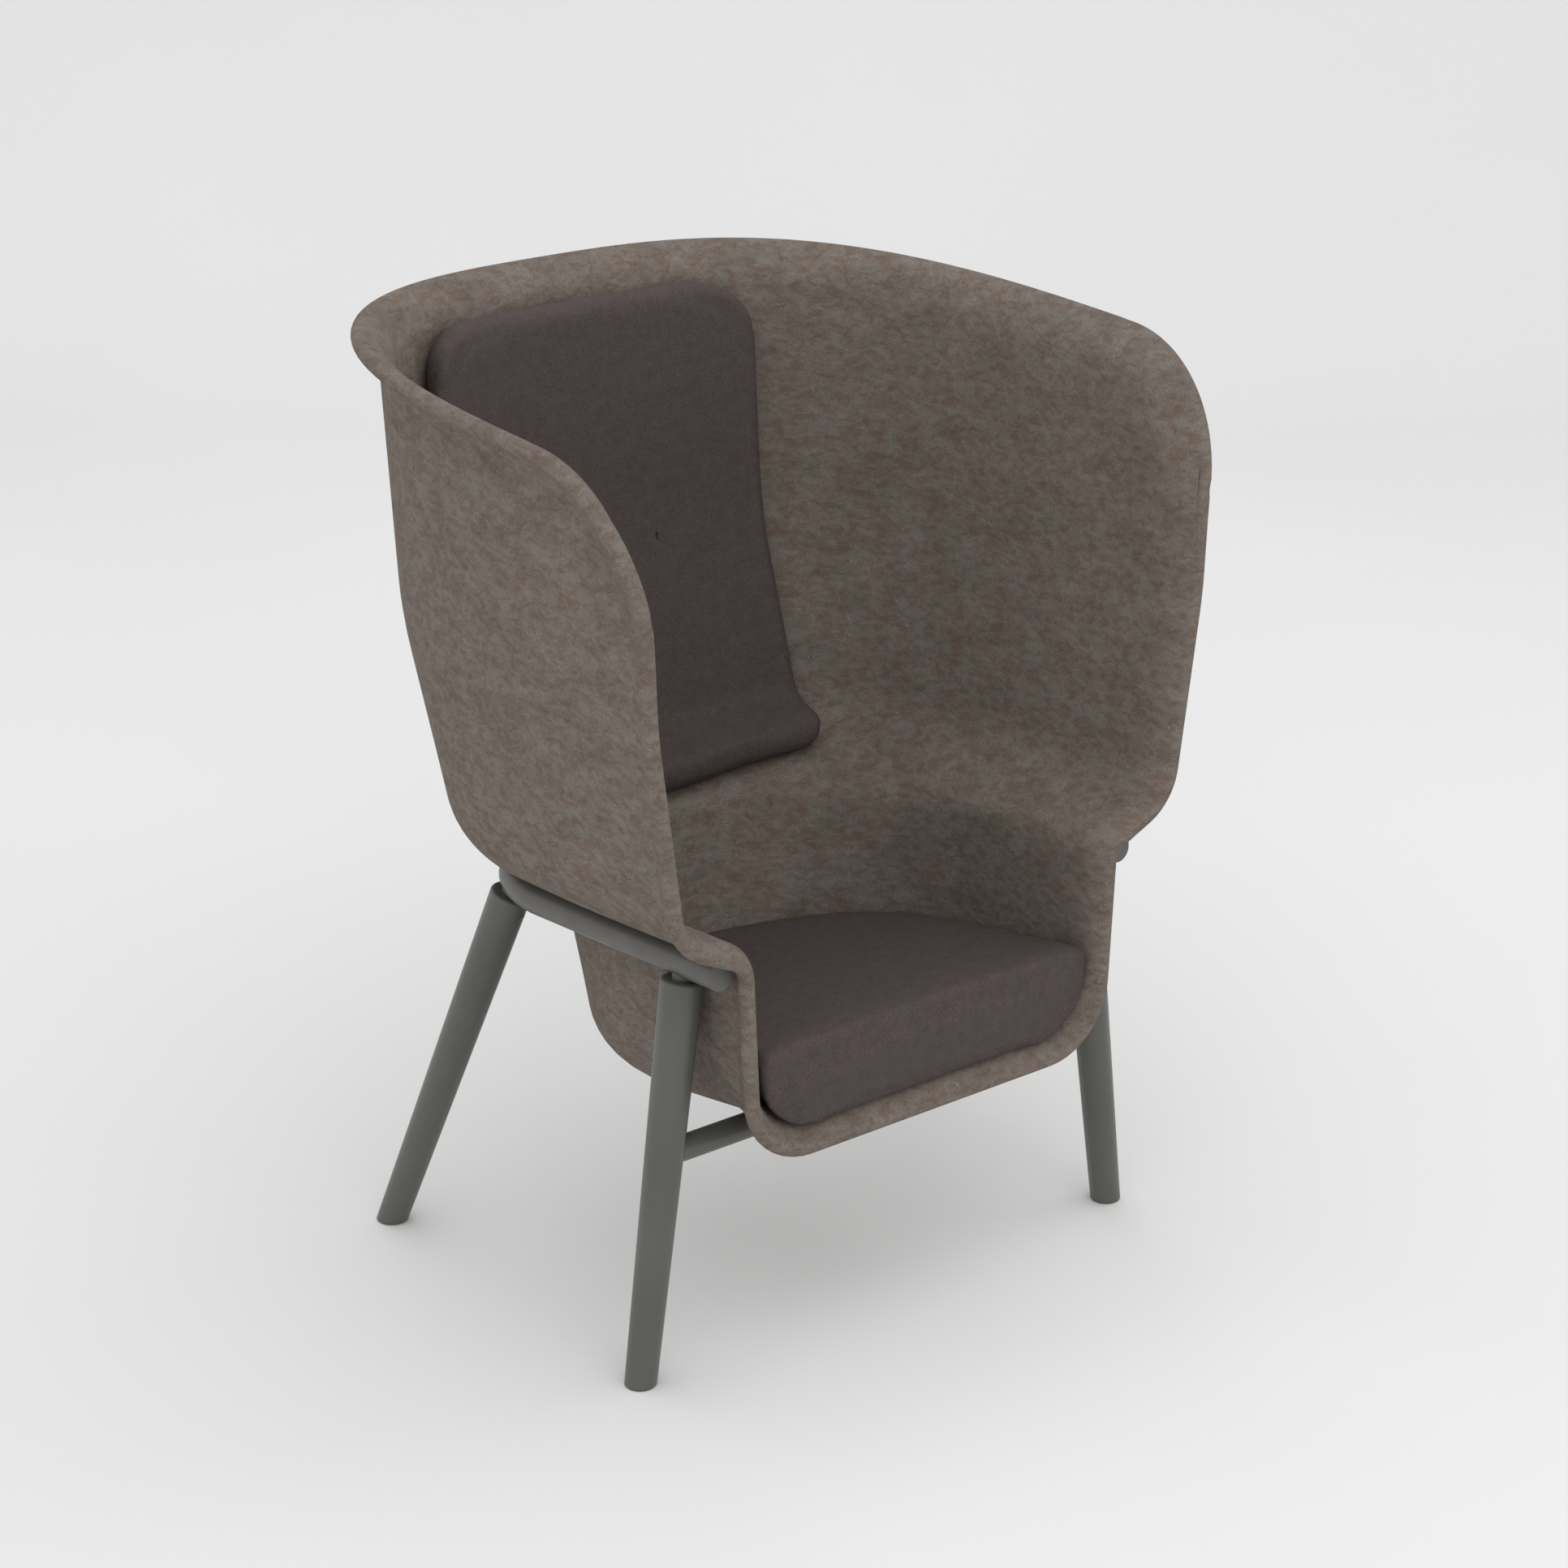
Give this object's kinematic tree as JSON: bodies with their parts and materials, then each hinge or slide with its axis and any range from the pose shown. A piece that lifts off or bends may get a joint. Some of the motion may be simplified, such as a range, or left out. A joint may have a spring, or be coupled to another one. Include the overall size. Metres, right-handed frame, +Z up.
{
  "type": "acoustic high back lounge chair",
  "caption": "High back lounge chair with a moulded felt shell that wraps the sitter, on a bent rail and splayed turned legs, with a seat cushion and a curved back pad",
  "frame": {"origin": "On the floor under the middle of the chair's bounding box", "axes": "+X to the right of someone who faces the chair's open front, the chair faces -Y, +Z up"},
  "size_m": [1.007, 0.8739, 1.2975],
  "materials": {
    "felt": "pressed fibre felt, mottled warm grey and brown",
    "frame_paint": "satin dark grey green powder coat",
    "leg_lacquer": "satin dark grey green lacquer, closed grain",
    "black_steel": "blackened steel",
    "glide_plastic": "matte",
    "foam": "open cell foam",
    "upholstery": "fine wool cloth, dark brown grey",
    "grip_tape": "hook and loop tape",
    "board": "raw moulded plywood",
    "black_plastic": "matte"
  },
  "bodies": {
    "root": {"shell": "felt", "rail_tube": "frame_paint", "rail_end_plug_left": "frame_paint", "rail_end_plug_right": "frame_paint", "leg_front_left": "leg_lacquer", "leg_front_right": "leg_lacquer", "leg_rear_left": "leg_lacquer", "leg_rear_right": "leg_lacquer", "front_stretcher": "leg_lacquer", "front_leg_spigots": "frame_paint", "rear_leg_spigots": "frame_paint", "leg_set_screws": "black_steel", "foot_glide_front_left": "glide_plastic", "foot_glide_front_right": "glide_plastic", "foot_glide_rear_left": "glide_plastic", "foot_glide_rear_right": "glide_plastic", "shell_screws": "black_steel", "rail_rivet_nuts": "black_steel", "floor_screws": "black_steel", "seat_foam": "foam", "seat_cover": "upholstery", "seat_grip_strips": "grip_tape", "back_pad_cover": "upholstery", "back_pad_foam": "foam", "back_pad_board": "board", "back_pad_slot_liners": "black_plastic", "back_pad_grip_strips": "grip_tape"}
  },
  "joints": []
}
